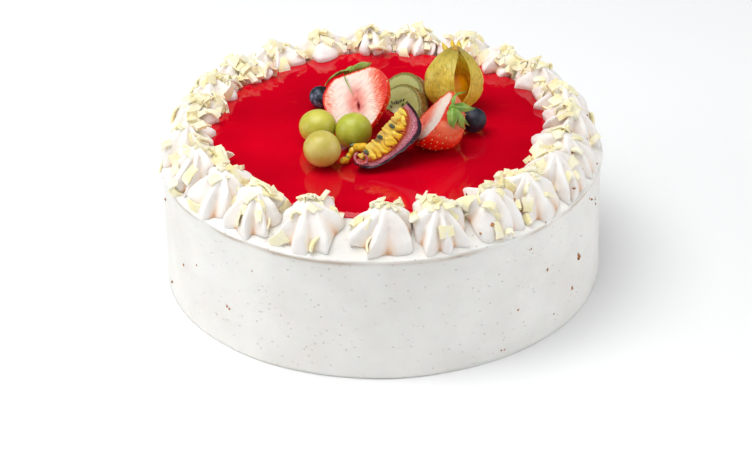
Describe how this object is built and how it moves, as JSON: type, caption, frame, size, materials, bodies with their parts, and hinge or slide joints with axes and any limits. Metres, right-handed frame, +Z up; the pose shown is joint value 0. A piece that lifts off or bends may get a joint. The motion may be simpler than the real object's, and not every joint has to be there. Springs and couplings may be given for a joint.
{
  "type": "layer cake",
  "caption": "Round cream-coated cake with a red jelly top, a border of piped cream stars with white chocolate shavings and a bunch of fresh fruit in the middle.",
  "frame": {"origin": "middle of the flat base, at table height", "axes": "+Z up; -Y towards the viewer of the picture; +X to that viewer's right"},
  "size_m": [0.2408, 0.2414, 0.1181],
  "materials": {
    "whipped_cream": "soft satin whipped cream",
    "red_jelly": "glossy clear jelly",
    "grape_skin": "smooth moist skin",
    "blueberry_skin": "waxy bloom",
    "strawberry_flesh": "moist flesh and skin",
    "strawberry_leaf": "fresh leaf",
    "kiwi_flesh": "moist flesh",
    "passion_fruit_rind": "leathery rind",
    "passion_fruit_pulp": "wet pulp",
    "physalis_husk": "dry papery husk",
    "physalis_berry": "smooth waxy skin"
  },
  "bodies": {
    "root": {"blueberry_back": "blueberry_skin", "blueberry_left": "blueberry_skin", "blueberry_right": "blueberry_skin", "cake_body": "whipped_cream", "calyx_left": "strawberry_leaf", "calyx_right": "strawberry_leaf", "cream_star_01": "whipped_cream", "cream_star_02": "whipped_cream", "cream_star_03": "whipped_cream", "cream_star_04": "whipped_cream", "cream_star_05": "whipped_cream", "cream_star_06": "whipped_cream", "cream_star_07": "whipped_cream", "cream_star_08": "whipped_cream", "cream_star_09": "whipped_cream", "cream_star_10": "whipped_cream", "cream_star_11": "whipped_cream", "cream_star_12": "whipped_cream", "cream_star_13": "whipped_cream", "cream_star_14": "whipped_cream", "cream_star_15": "whipped_cream", "cream_star_16": "whipped_cream", "cream_star_17": "whipped_cream", "cream_star_18": "whipped_cream", "cream_star_19": "whipped_cream", "cream_star_20": "whipped_cream", "cream_star_21": "whipped_cream", "cream_star_22": "whipped_cream", "cream_star_23": "whipped_cream", "grape_front": "grape_skin", "grape_left": "grape_skin", "grape_right": "grape_skin", "jelly_top": "red_jelly", "kiwi_slice_back": "kiwi_flesh", "kiwi_slice_front": "kiwi_flesh", "passion_fruit_pulp": "passion_fruit_pulp", "passion_fruit_rind": "passion_fruit_rind", "physalis_berry": "physalis_berry", "physalis_husk": "physalis_husk", "strawberry_left": "strawberry_flesh", "strawberry_right": "strawberry_flesh"}
  },
  "joints": []
}
